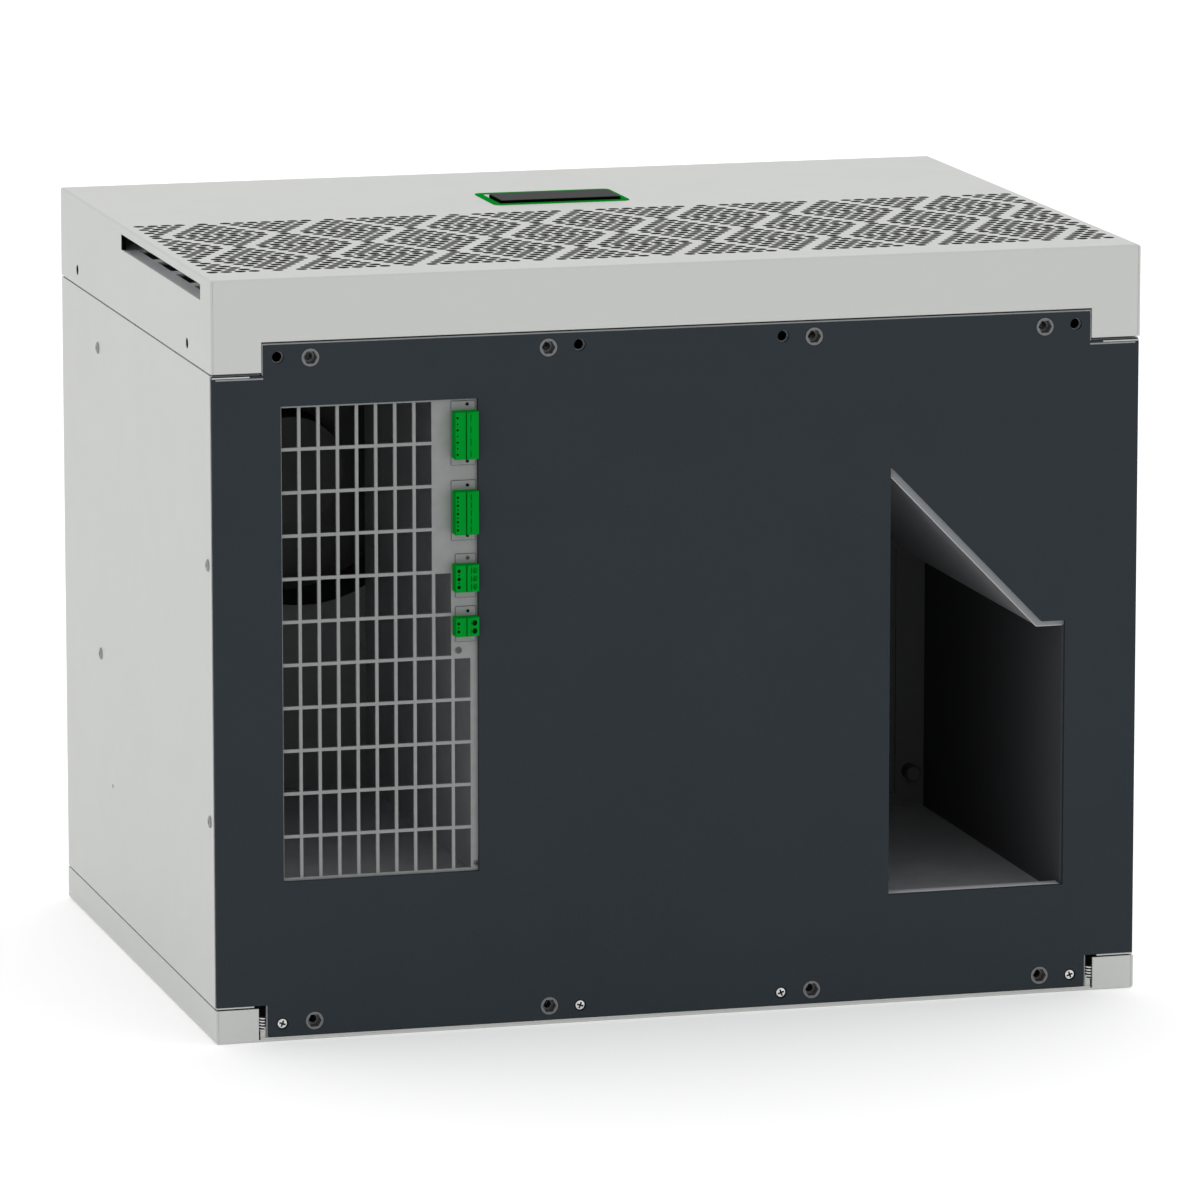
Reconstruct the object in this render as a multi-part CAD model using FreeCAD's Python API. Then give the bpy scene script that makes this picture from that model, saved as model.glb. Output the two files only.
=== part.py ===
import FreeCAD, Part
import math
import os

# Roof-mounted cooling unit for an electrical enclosure, set down as it is photographed.
# The dark gasket face that bolts to the enclosure roof stands upright and faces -Y.
# The cover with the intake grille and the display is on top, and the plain cover is underneath.
# All sizes are in millimetres. The origin is the bottom centre of the whole object.

# Casing
unit_width = 597.0
unit_depth = 443.0
unit_height = 477.0
sheet = 1.5
bend_radius = 1.8
seam_gap = 1.2
fit_gap = 0.3

# Covers, seen as trays: the grille cover on top and the plain cover below
grille_cover_height = 57.8
plain_cover_height = 21.2
cover_tab_clearance = 1.1
cover_tab_rise = 2.0
corner_slit = 0.5
plain_corner_width = 27.0

# Gasket face and base plate
gasket_thickness = 3.0
base_thickness = 2.0
gasket_side_inset = 0.6
gasket_tab_side_inset = 32.8
gasket_tab_top_drop = 41.0
gasket_tab_bottom_rise = 3.2
gasket_corner_radius = 2.5
base_lip = 0.8

# Fixing inserts and clearance holes along both tabs
insert_side_inset = 62.5
insert_inner_x = 85.4
insert_edge = 8.6
insert_head_radius = 5.6
insert_mouth_flats = 7.7
insert_mouth_depth = 6.0
insert_shank_flats = 9.4
insert_thread_radius = 2.5
insert_length = 14.0
screw_hole_side_inset = 42.1
screw_hole_inner_x = 65.4
screw_hole_edge = 7.8
screw_hole_radius = 3.8
screw_hole_step = 0.6

# Warm-air intake: window in the gasket, punched mesh behind it
intake_side_inset = 43.6
intake_width = 124.6
intake_bottom = 100.5
intake_top_drop = 79.3
mesh_overlap = 6.0
mesh_pitch_x = 12.1
mesh_pitch_z = 26.9
mesh_bar = 2.0
mesh_margin_left = 1.0
mesh_margin_top = 1.4
mesh_rows_beside_large_terminals = 4
mesh_rows_beside_small_terminals = 2
mesh_columns = 10

# Pluggable terminal blocks beside the mesh: poles, pole pitch, drop of the centre below the window's top,
# and width of the plate behind the block
terminal_blocks = [(4, 7.62, 22.1, 15.0),
                   (5, 5.08, 70.4, 15.0),
                   (3, 5.08, 111.3, 12.6),
                   (2, 5.08, 141.7, 12.6)]
terminal_inset = 8.5
terminal_width = 15.2
terminal_proud = 7.4
terminal_end_margin = 3.3
terminal_ridge_height = 0.5
terminal_ridge_width = 2.3
terminal_ridge_offset = 0.7
terminal_slope = 1.6
terminal_pit_width = 1.6
terminal_pit_depth = 4.0
terminal_pit_edge = 1.3
terminal_plate_inset = 1.4
terminal_plate_thickness = 0.6
terminal_plate_margin = 5.1
terminal_plate_lift = 0.6

# Cold-air outlet duct, a prism that runs back from the gasket face
outlet_side_inset = 47.5
outlet_width = 115.4
outlet_bottom = 69.9
outlet_short_top = 240.0
outlet_knee_inset = 15.3
outlet_peak = 343.5
outlet_slope_reveal = 4.1
outlet_top_reveal = 3.15
outlet_side_reveal = 1.1
outlet_lip_depth = 6.2
duct_floor_drop = 7.2
duct_depth = 291.0
duct_wall = 1.5
duct_panel_rise = 2.1
duct_panel_left_margin = 12.0
duct_panel_right_margin = 20.8
drain_plug_radius = 5.2
drain_plug_length = 12.0
drain_plug_bevel = 0.8
drain_plug_inset = 11.3
drain_plug_rise = 16.9

# Intake plenum behind the mesh and the fan at its far end
plenum_outer_gap = 7.1
plenum_inner_gap = 2.5
plenum_floor = 94.5
plenum_headroom = 6.3
plenum_depth = 305.0
plenum_wall = 1.5
fan_mouth_radius = 84.0
fan_inset = 92.0
fan_centre_drop = 104.0
fan_wall = 2.5
fan_hub_radius = 38.0
fan_hub_depth = 30.0
fan_housing_depth = 60.0
fan_plate_margin = 12.0

# Grille cover: perforated field, vent slots, screw holes
field_side_inset = 5.5
field_front = 31.0
field_depth = 225.0
field_margin = 1.0
shortest_run = 3
hole_pitch = 82.6 / 9
hole_diameter = 6.4
band_count = 4
rows_per_band = 7
vent_front = 27.3
vent_length = 228.0
vent_drop = 5.7
vent_height = 10.0
cover_screw_radius = 3.4
cover_screw_front = 65.7
cover_screw_back = 392.3
cover_screw_rise = 10.0

# Deck under the perforated field, carried by the upper rails
deck_drop = 16.0
deck_hole = 39.5
deck_hole_inset = 10.3
deck_hole_front = 50.2
deck_pitch = 52.8
deck_hole_rows = 4
deck_hole_columns = 11

# Controller display in the grille cover
display_x = -0.3
display_front = 280.6
display_frame_width = 91.0
display_frame_depth = 57.5
display_frame_border = 4.6
display_frame_proud = 0.5
display_frame_radius = 5.0
display_recess = 6.0
display_body_gap = 0.6
display_body_depth = 32.6
display_body_proud = 2.3
display_body_radius = 2.0
display_chamfer = 0.8

# Side panels
panel_return = 24.0
panel_hole_back = 298.3
panel_hole_height = 104.3
panel_hole_radius = 1.6

# How far a cutting shape stands out of what it cuts, and how near an edge must lie to be picked
over = 1.0
near = 0.01

# Places that follow from the sizes above
half_width = unit_width / 2
gasket_tab_half_width = half_width - gasket_tab_side_inset
insert_outer_x = half_width - insert_side_inset
screw_hole_outer_x = half_width - screw_hole_side_inset
intake_left = -half_width + intake_side_inset
intake_right = intake_left + intake_width
terminal_centre_x = intake_right - terminal_inset
plenum_left = intake_left - plenum_outer_gap
plenum_right = intake_right + plenum_inner_gap
fan_centre_x = plenum_left + fan_inset
outlet_right = half_width - outlet_side_inset
outlet_left = outlet_right - outlet_width
outlet_knee = outlet_right - outlet_knee_inset
duct_panel_right = outlet_right - duct_panel_right_margin
drain_plug_x = outlet_right - drain_plug_inset
field_half_width = half_width - field_side_inset
rail_flange = deck_hole_inset - sheet - fit_gap
y_face = -(unit_depth + terminal_proud) / 2 + terminal_proud
y_back = y_face + unit_depth
y_base = y_face + gasket_thickness
y_inner = y_base + base_thickness
seam_top = unit_height - grille_cover_height
seam_bottom = plain_cover_height
panel_top = seam_top - seam_gap
panel_bottom = seam_bottom + seam_gap
tab_top = unit_height - gasket_tab_top_drop
tab_bottom = gasket_tab_bottom_rise
top_underside = unit_height - sheet
deck_top = unit_height - deck_drop
intake_top = unit_height - intake_top_drop
plenum_top = intake_top + plenum_headroom
fan_centre_z = plenum_top - fan_centre_drop


def vec(x, y, z):
    return FreeCAD.Vector(x, y, z)


def box(x0, x1, y0, y1, z0, z1):
    return Part.makeBox(x1 - x0, y1 - y0, z1 - z0, vec(x0, y0, z0))


def rod_y(radius, x, z, y0, y1):
    return Part.makeCylinder(radius, y1 - y0, vec(x, y0, z), vec(0, 1, 0))


def rod_x(radius, y, z, x0, x1):
    return Part.makeCylinder(radius, x1 - x0, vec(x0, y, z), vec(1, 0, 0))


def plate_y(outline, y0, y1):
    """A flat plate whose outline is a list of (x, z) corners."""
    points = [vec(x, y0, z) for x, z in outline]
    face = Part.Face(Part.makePolygon(points + points[:1]))
    return face.extrude(vec(0, y1 - y0, 0))


def hexagon_y(flats, x, z, y0, y1):
    """A hexagonal prism along Y with a corner to each side."""
    reach = flats / math.sqrt(3)
    corners = [(x + reach * math.cos(math.radians(60 * i)), z + reach * math.sin(math.radians(60 * i)))
               for i in range(6)]
    return plate_y(corners, y0, y1)


def edges_where(shape, test):
    return [e for e in shape.Edges if test(e.BoundBox)]


def rectangle_z(x0, x1, y0, y1, z):
    """A flat rectangular face at height z."""
    corners = [vec(x0, y0, z), vec(x1, y0, z), vec(x1, y1, z), vec(x0, y1, z)]
    return Part.Face(Part.makePolygon(corners + corners[:1]))


def is_flat(low, high, at):
    return abs(low - at) < near and abs(high - at) < near


def save(name, *solids):
    shape = solids[0] if len(solids) == 1 else Part.makeCompound(list(solids))
    shape.exportStep(os.path.join("parts", name + ".step"))


def insert_places():
    xs = [-insert_outer_x, -insert_inner_x, insert_inner_x, insert_outer_x]
    return [(x, z) for z in (tab_top - insert_edge, tab_bottom + insert_edge) for x in xs]


def screw_hole_places():
    xs = [-screw_hole_outer_x, -screw_hole_inner_x, screw_hole_inner_x, screw_hole_outer_x]
    return [(x, z) for z in (tab_top - screw_hole_edge, tab_bottom + screw_hole_edge) for x in xs]


def outlet_outline(slope_reveal, top_reveal, side_reveal):
    """Corners of the outlet opening; the reveals move its slope, short top edge and right side inwards."""
    slope = math.atan2(outlet_peak - outlet_short_top, outlet_knee - outlet_left)
    peak = outlet_peak - slope_reveal / math.cos(slope)
    top = outlet_short_top - top_reveal
    right = outlet_right - side_reveal
    knee = outlet_left + (peak - top) / math.tan(slope)
    return [(outlet_left, outlet_bottom), (right, outlet_bottom), (right, top), (knee, top),
            (outlet_left, peak)]


def duct_outline():
    """Corners of the outlet as the base plate and the duct leave it, inside the gasket's opening."""
    return outlet_outline(outlet_slope_reveal, outlet_top_reveal, outlet_side_reveal)


def tabbed_outline(half, z0, z1, tab_half, tab_z0, tab_z1):
    """A rectangle with a centred tab above and below."""
    return [(-half, z0), (-tab_half, z0), (-tab_half, tab_z0), (tab_half, tab_z0),
            (tab_half, z0), (half, z0), (half, z1), (tab_half, z1),
            (tab_half, tab_z1), (-tab_half, tab_z1), (-tab_half, z1), (-half, z1)]


def gasket():
    half = half_width - gasket_side_inset
    outline = tabbed_outline(half, panel_bottom + base_lip, panel_top - base_lip,
                             gasket_tab_half_width, tab_bottom, tab_top)
    body = plate_y(outline, y_face, y_base)
    corners = edges_where(body, lambda b: b.YLength > gasket_thickness - near
                          and abs(abs(b.XMin) - gasket_tab_half_width) < near
                          and (abs(b.ZMin - tab_bottom) < near or abs(b.ZMin - tab_top) < near))
    body = body.makeFillet(gasket_corner_radius, corners)
    body = body.cut(box(intake_left, intake_right, y_face - over, y_base + over, intake_bottom, intake_top))
    body = body.cut(plate_y(outlet_outline(0, 0, 0), y_face - over, y_base + over))
    for x, z in insert_places():
        body = body.cut(rod_y(insert_head_radius + fit_gap, x, z, y_face - over, y_base + over))
    for x, z in screw_hole_places():
        body = body.cut(rod_y(screw_hole_radius, x, z, y_face - over, y_base + over))
    save("roof_gasket", body)


def base_plate():
    """The sheet behind the gasket, with a lip folded back under the outlet opening."""
    half = half_width - sheet - fit_gap
    outline = tabbed_outline(half, panel_bottom, panel_top, gasket_tab_half_width + base_lip,
                             sheet + fit_gap, tab_top + base_lip)
    body = plate_y(outline, y_base, y_inner)
    body = body.cut(box(intake_left - fit_gap, intake_right + fit_gap, y_base - over, y_inner + over,
                        intake_bottom - fit_gap, intake_top + fit_gap))
    body = body.cut(plate_y(duct_outline(), y_base - over, y_inner + over))
    right, top = duct_outline()[2]
    body = body.cut(box(right - over, right + duct_wall + fit_gap, y_base - over, y_inner + over,
                        outlet_bottom, top))
    lip = box(outlet_left + fit_gap, right - fit_gap, y_base, y_inner + outlet_lip_depth,
              outlet_bottom - base_thickness, outlet_bottom)
    body = body.fuse(lip).removeSplitter()
    for x, z in insert_places():
        body = body.cut(hexagon_y(insert_shank_flats + 2 * fit_gap, x, z, y_base - over, y_inner + over))
    for x, z in screw_hole_places():
        if z > unit_height / 2:
            body = body.cut(rod_y(screw_hole_radius - screw_hole_step, x, z, y_base - over, y_inner + over))
    save("base_plate", body)


def mesh_cells():
    """Left, right, bottom and top of each punched opening, row by row from the top."""
    left = intake_left + mesh_margin_left
    top = intake_top - mesh_margin_top
    rows = int((top + mesh_bar - intake_bottom) / mesh_pitch_z)
    cells = []
    for row in range(rows):
        z1 = top - row * mesh_pitch_z
        beside_large = row < mesh_rows_beside_large_terminals
        beside_any = row < mesh_rows_beside_large_terminals + mesh_rows_beside_small_terminals
        for column in range(mesh_columns - beside_large - beside_any):
            x0 = left + column * mesh_pitch_x
            cells.append((x0, x0 + mesh_pitch_x - mesh_bar, z1 - mesh_pitch_z + mesh_bar, z1))
    return cells


def rectangle_y(x0, x1, z0, z1, y):
    """An upright rectangular face at depth y."""
    corners = [vec(x0, y, z0), vec(x1, y, z0), vec(x1, y, z1), vec(x0, y, z1)]
    return Part.Face(Part.makePolygon(corners + corners[:1]))


def mesh_panel():
    """The punched grille: it stands in the base plate's window, with a rim behind the plate."""
    face = rectangle_y(intake_left, intake_right, intake_bottom, intake_top, y_base)
    holes = [rectangle_y(*cell, y_base) for cell in mesh_cells()]
    sheet_front = face.cut(Part.makeCompound(holes)).extrude(vec(0, base_thickness, 0))
    rim = box(intake_left - mesh_overlap, intake_right + mesh_overlap, y_inner, y_inner + sheet,
              intake_bottom - mesh_overlap, intake_top + mesh_overlap)
    rim = rim.cut(box(intake_left + mesh_margin_left, intake_right - mesh_margin_left, y_inner - over,
                      y_inner + sheet + over, intake_bottom + mesh_margin_top, intake_top - mesh_margin_top))
    save("intake_mesh", sheet_front.fuse(rim).removeSplitter())


def terminal_length(poles, pitch):
    return (poles - 1) * pitch + 2 * terminal_end_margin


def terminal_block(index, poles, pitch, drop):
    """One plug: a front face with a ridge between the wire entries and the sloped screw side."""
    half = terminal_length(poles, pitch) / 2
    height = intake_top - drop
    x0 = terminal_centre_x - terminal_width / 2
    x1 = x0 + terminal_width
    front = y_face - terminal_proud
    seat = y_base - terminal_plate_thickness
    face = front + terminal_ridge_height
    ridge0 = terminal_centre_x + terminal_ridge_offset - terminal_ridge_width / 2
    ridge1 = ridge0 + terminal_ridge_width
    profile = [(x0, seat), (x0, face), (ridge0, face), (ridge0, front), (ridge1, front), (ridge1, face),
               (x1, face + terminal_slope), (x1, seat)]
    points = [vec(x, y, height - half) for x, y in profile]
    body = Part.Face(Part.makePolygon(points + points[:1])).extrude(vec(0, 0, 2 * half))
    pit0 = x0 + terminal_pit_edge - terminal_pit_width / 2
    pit1 = pit0 + terminal_pit_width
    for pole in range(poles):
        z = height + (pole - (poles - 1) / 2) * pitch
        body = body.cut(box(pit0, pit1, face - over, face + terminal_pit_depth,
                            z - terminal_pit_width / 2, z + terminal_pit_width / 2))
    save(f"terminal_block_{index}", body)


def terminal_plates():
    """The plates that carry the blocks, on the front of the mesh panel's blank strip."""
    solids = []
    x1 = intake_right - terminal_plate_inset
    for poles, pitch, drop, width in terminal_blocks:
        half = terminal_length(poles, pitch) / 2 + terminal_plate_margin
        height = intake_top - drop + terminal_plate_lift
        solids.append(box(x1 - width, x1, y_base - terminal_plate_thickness, y_base,
                          height - half, height + half))
    save("terminal_plates", *solids)


def fixing_insert(index, x, z):
    """A rivet nut: a round head in the gasket, a hexagonal shank, a hexagonal mouth and a thread."""
    head = rod_y(insert_head_radius, x, z, y_face, y_base)
    shank = hexagon_y(insert_shank_flats, x, z, y_base, y_face + insert_length)
    body = head.fuse(shank)
    body = body.cut(hexagon_y(insert_mouth_flats, x, z, y_face - over, y_face + insert_mouth_depth))
    body = body.cut(rod_y(insert_thread_radius, x, z, y_face, y_face + insert_length + over))
    save(f"fixing_insert_{index}", body)


def side_panel(side):
    """A flat side with a return behind the base plate; side is -1 for left, 1 for right."""
    x0, x1 = sorted((side * half_width, side * (half_width - panel_return)))
    body = box(x0, x1, y_face + gasket_thickness, y_back, panel_bottom, panel_top)
    inner0, inner1 = sorted((side * (half_width - sheet), side * (half_width - panel_return - over)))
    body = body.cut(box(inner0, inner1, y_face + gasket_thickness - over, y_inner + fit_gap,
                        panel_bottom - over, panel_top + over))
    body = body.cut(box(inner0, inner1, y_inner + fit_gap + sheet, y_back + over,
                        panel_bottom - over, panel_top + over))
    corner = edges_where(body, lambda b: is_flat(b.XMin, b.XMax, side * half_width)
                         and is_flat(b.YMin, b.YMax, y_back))
    body = body.makeFillet(bend_radius / 2, corner)
    if side < 0:
        body = body.cut(rod_x(panel_hole_radius, y_face + panel_hole_back, panel_hole_height,
                              -half_width - over, -half_width + sheet + over))
    save("left_side_panel" if side < 0 else "right_side_panel", body)


def back_panel():
    """The panel opposite the gasket, with lips that lie inside both side panels."""
    half = half_width - sheet
    body = box(-half, half, y_back - panel_return, y_back, panel_bottom, panel_top)
    body = body.cut(box(-half + sheet, half - sheet, y_back - panel_return - over, y_back - sheet,
                        panel_bottom - over, panel_top + over))
    save("back_panel", body)


def tray(z_closed, z_open, front_notch_half, notch_z):
    """A folded cover: closed at z_closed, open at z_open, its front flange cut back in the middle."""
    z0, z1 = sorted((z_closed, z_open))
    body = box(-half_width, half_width, y_face, y_back, z0, z1)
    folds = edges_where(body, lambda b: is_flat(b.ZMin, b.ZMax, z_closed))
    body = body.makeFillet(bend_radius, folds)
    inner_closed = z_closed - sheet if z_closed > z_open else z_closed + sheet
    inner_open = z_open - over if z_closed > z_open else z_open + over
    i0, i1 = sorted((inner_closed, inner_open))
    body = body.cut(box(-half_width + sheet, half_width - sheet, y_face + sheet, y_back - sheet, i0, i1))
    n0, n1 = sorted((notch_z, inner_open))
    body = body.cut(box(-front_notch_half, front_notch_half, y_face - over, y_face + sheet + over, n0, n1))
    for x in (-half_width + sheet, half_width - sheet):
        slit = box(x - corner_slit / 2, x + corner_slit / 2,
                   y_face - over, y_face + sheet + corner_slit, i0, i1)
        body = body.cut(slit)
    return body


def field_window():
    y0 = y_face + field_front
    return (-field_half_width, field_half_width, y0, y0 + field_depth)


def grille_cover():
    body = tray(unit_height, seam_top, gasket_tab_half_width + cover_tab_clearance, tab_top + cover_tab_rise)
    x0, x1, y0, y1 = field_window()
    body = body.cut(box(x0, x1, y0, y1, top_underside - over, unit_height + over))
    vent_top = unit_height - vent_drop
    vent_y = y_face + vent_front
    body = body.cut(box(-half_width - over, half_width + over, vent_y, vent_y + vent_length,
                        vent_top - vent_height, vent_top))
    for back in (cover_screw_front, cover_screw_back):
        for side in (-1, 1):
            inner, outer = side * (half_width - sheet - over), side * (half_width + over)
            body = body.cut(rod_x(cover_screw_radius, y_face + back, seam_top + cover_screw_rise,
                                  min(inner, outer), max(inner, outer)))
    fx0, fx1, fy0, fy1 = display_window()
    body = body.cut(box(fx0, fx1, fy0, fy1, top_underside - over, unit_height + over))
    save("grille_cover", body)


def display_window():
    """The cut-out that the display's frame covers."""
    x0 = display_x - display_frame_width / 2 + display_frame_border / 2
    y0 = y_face + display_front + display_frame_border / 2
    return (x0, x0 + display_frame_width - display_frame_border,
            y0, y0 + display_frame_depth - display_frame_border)


def hole_runs():
    """Centre, row height along Y and hole count of each run of holes in the triangular groups."""
    row_pitch = hole_pitch * math.sqrt(3) / 2
    band_height = (rows_per_band - 1) * row_pitch
    band_pitch = (field_depth - 2 * field_margin - hole_diameter - band_height) / (band_count - 1)
    side = (rows_per_band + 2) * hole_pitch
    first = y_face + field_front + field_margin + hole_diameter / 2
    runs = []
    for band in range(band_count):
        for row in range(rows_per_band):
            y = first + band * band_pitch + row * row_pitch
            grows = row + 1 if band % 2 else rows_per_band - row
            for step in range(-8, 9):
                count = grows if step % 2 else rows_per_band + 1 - grows
                runs.append((step * side / 2, y, count))
    return runs


def intake_grille():
    """The perforated field. Each run of round holes is one slot here, and short runs are left out."""
    x0, x1, y0, y1 = field_window()
    half_slot = hole_diameter / 2
    slots = []
    for x, y, count in hole_runs():
        reach = (count - 1) * hole_pitch / 2 + half_slot
        left = max(x - reach, x0 + field_margin)
        right = min(x + reach, x1 - field_margin)
        if count >= shortest_run and right - left > hole_diameter:
            slots.append(rectangle_z(left, right, y - half_slot, y + half_slot, top_underside))
    body = rectangle_z(x0, x1, y0, y1, top_underside).cut(Part.makeCompound(slots))
    save("intake_grille", body.extrude(vec(0, 0, sheet)))


def plain_cover():
    body = tray(0.0, seam_bottom, half_width - plain_corner_width, sheet)
    save("plain_cover", body)


def air_deck():
    """The sheet under the perforated field, with rows of square holes for the air."""
    half = half_width - sheet
    body = rectangle_z(-half, half, y_inner, y_back - sheet, deck_top - sheet)
    first_x = -half_width + deck_hole_inset
    pitch_x = (unit_width - 2 * deck_hole_inset - deck_hole) / (deck_hole_columns - 1)
    holes = []
    for row in range(deck_hole_rows):
        y = y_face + deck_hole_front + row * deck_pitch
        for column in range(deck_hole_columns):
            x = first_x + column * pitch_x
            holes.append(rectangle_z(x, x + deck_hole, y, y + deck_hole, deck_top - sheet))
    save("air_deck", body.cut(Part.makeCompound(holes)).extrude(vec(0, 0, sheet)))


def rails(name, z0, z1, flange_on_top):
    """Three angle rails inside the panels: left, right and back, with a gap at each corner."""
    x = half_width - sheet
    y0 = y_inner + fit_gap + 2 * sheet
    y1 = y_back - sheet
    f0, f1 = (z1 - sheet, z1) if flange_on_top else (z0, z0 + sheet)
    solids = []
    for side in (-1, 1):
        wall = box(min(side * x, side * (x - sheet)), max(side * x, side * (x - sheet)), y0, y1, z0, z1)
        leg = box(min(side * x, side * (x - rail_flange)), max(side * x, side * (x - rail_flange)),
                  y0, y1, f0, f1)
        solids.append(wall.fuse(leg).removeSplitter())
    reach = x - rail_flange - fit_gap
    wall = box(-reach, reach, y1 - sheet, y1, z0, z1)
    leg = box(-reach, reach, y1 - rail_flange, y1, f0, f1)
    solids.append(wall.fuse(leg).removeSplitter())
    save(name, *solids)


def display():
    x = display_x
    y = y_face + display_front + display_frame_depth / 2
    half_x = display_frame_width / 2
    half_y = display_frame_depth / 2
    top = unit_height + display_frame_proud
    ring = box(x - half_x, x + half_x, y - half_y, y + half_y, unit_height, top)
    ring = ring.makeFillet(display_frame_radius, edges_where(ring, lambda b: b.ZLength > near))
    inner_x = half_x - display_frame_border
    inner_y = half_y - display_frame_border
    ring = ring.cut(box(x - inner_x, x + inner_x, y - inner_y, y + inner_y, unit_height - over, top + over))
    save("display_frame", ring)

    wx0, wx1, wy0, wy1 = display_window()
    floor = top - display_recess
    tub = box(wx0 + fit_gap, wx1 - fit_gap, wy0 + fit_gap, wy1 - fit_gap, floor - sheet, unit_height)
    tub = tub.cut(box(x - inner_x, x + inner_x, y - inner_y, y + inner_y, floor, top + over))
    save("display_tub", tub)

    head = top + display_body_proud
    front = y - inner_y + display_body_gap
    half_body = inner_x - display_body_gap
    body = box(x - half_body, x + half_body, front, front + display_body_depth, floor, head)
    body = body.makeFillet(display_body_radius, edges_where(body, lambda b: b.ZLength > near))
    body = body.makeChamfer(display_chamfer, edges_where(body, lambda b: is_flat(b.ZMin, b.ZMax, head)))
    save("display_unit", body)


def plenum():
    """Thin walls of the space behind the mesh."""
    y0 = y_inner + sheet
    y1 = y_face + plenum_depth
    w = plenum_wall
    save("plenum_floor", box(plenum_left, plenum_right + w, y0, y1, plenum_floor - w, plenum_floor))
    save("plenum_roof", box(plenum_left, plenum_right + w, y0, y1, plenum_top, plenum_top + w))
    save("plenum_outer_wall", box(plenum_left - w, plenum_left, y0, y1, plenum_floor - w, plenum_top + w))
    save("plenum_inner_wall", box(plenum_right, plenum_right + w, y0, y1, plenum_floor, plenum_top))


def fan():
    """The plate at the far end of the plenum, and the fan's housing behind its round mouth."""
    y1 = y_face + plenum_depth
    y2 = y1 + plenum_wall
    y3 = y2 + fan_housing_depth
    right = fan_centre_x + fan_mouth_radius + fan_plate_margin
    plate = box(plenum_left - plenum_wall, right, y1, y2,
                plenum_floor - plenum_wall, plenum_top + plenum_wall)
    plate = plate.cut(rod_y(fan_mouth_radius, fan_centre_x, fan_centre_z, y1 - over, y2 + over))
    save("fan_plate", plate)
    shell = rod_y(fan_mouth_radius + fan_wall, fan_centre_x, fan_centre_z, y2, y3)
    shell = shell.cut(rod_y(fan_mouth_radius, fan_centre_x, fan_centre_z, y2 - over, y3 - fan_wall))
    hub = Part.makeCone(fan_hub_radius - fan_wall, fan_hub_radius, y3 - fan_wall - y1 - fan_hub_depth,
                        vec(fan_centre_x, y1 + fan_hub_depth, fan_centre_z), vec(0, 1, 0))
    save("evaporator_fan", shell.fuse(hub).removeSplitter())


def outlet_duct():
    """Thin walls of the outlet: floor, two sides, a roof with a slope, and the far wall.

    The outer wall comes forward through the base plate to the back of the gasket.
    """
    y0 = y_inner
    y1 = y_face + duct_depth
    w = duct_wall
    outline = duct_outline()
    floor = outlet_bottom - duct_floor_drop
    right, short_top = outline[2]
    knee = outline[3][0]
    peak = outline[4][1]
    slope = math.atan2(peak - short_top, knee - outlet_left)
    rise = w / math.cos(slope)
    save("duct_floor", box(outlet_left, right, y0, y1, floor - w, floor))
    outer = box(right, right + w, y0, y1, floor - w, short_top)
    tongue = box(right, right + w, y_base, y0, outlet_bottom, short_top)
    save("duct_outer_wall", outer.fuse(tongue).removeSplitter())
    save("duct_inner_wall", box(outlet_left - w, outlet_left, y0, y1, floor - w, peak))
    roof = plate_y([(outlet_left - w, peak), (outlet_left, peak), (knee, short_top),
                    (right + w, short_top), (right + w, short_top + w),
                    (knee + w * math.tan(slope / 2), short_top + w), (outlet_left - w, peak + rise)], y0, y1)
    save("duct_roof", roof)
    back = plate_y([(outlet_left - w, floor - w), (right + w, floor - w),
                    (right + w, short_top + w), (knee, short_top + w),
                    (outlet_left - w, peak + rise)], y1, y1 + w)
    left = outlet_left + duct_panel_left_margin
    window = box(left, duct_panel_right, y1 - over, y1 + w + over,
                 outlet_bottom + duct_panel_rise, short_top)
    save("duct_back_wall", back.cut(window))
    save("duct_back_panel", box(left - w, duct_panel_right + w, y1 + w, y1 + 2 * w,
                                outlet_bottom + duct_panel_rise - w, short_top + w))
    plug = rod_y(drain_plug_radius, drain_plug_x, outlet_bottom + drain_plug_rise,
                 y1 - drain_plug_length, y1)
    rim = edges_where(plug, lambda b: is_flat(b.YMin, b.YMax, y1 - drain_plug_length))
    save("drain_plug", plug.makeChamfer(drain_plug_bevel, rim))


os.makedirs("parts", exist_ok=True)
gasket()
base_plate()
mesh_panel()
terminal_plates()
for number, (poles, pitch, drop, _) in enumerate(terminal_blocks, 1):
    terminal_block(number, poles, pitch, drop)
for number, (x, z) in enumerate(insert_places(), 1):
    fixing_insert(number, x, z)
side_panel(-1)
side_panel(1)
back_panel()
grille_cover()
intake_grille()
plain_cover()
air_deck()
rails("upper_rails", panel_top, deck_top - sheet, True)
rails("lower_rails", sheet, panel_bottom, False)
display()
plenum()
fan()
outlet_duct()
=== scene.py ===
"""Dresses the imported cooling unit: finishes, drilled grille, terminals, small fixings and a plain studio."""
import math

import bmesh
import bpy
from bpy.props import FloatProperty, FloatVectorProperty, IntProperty, PointerProperty
from mathutils import Matrix, Vector


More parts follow.
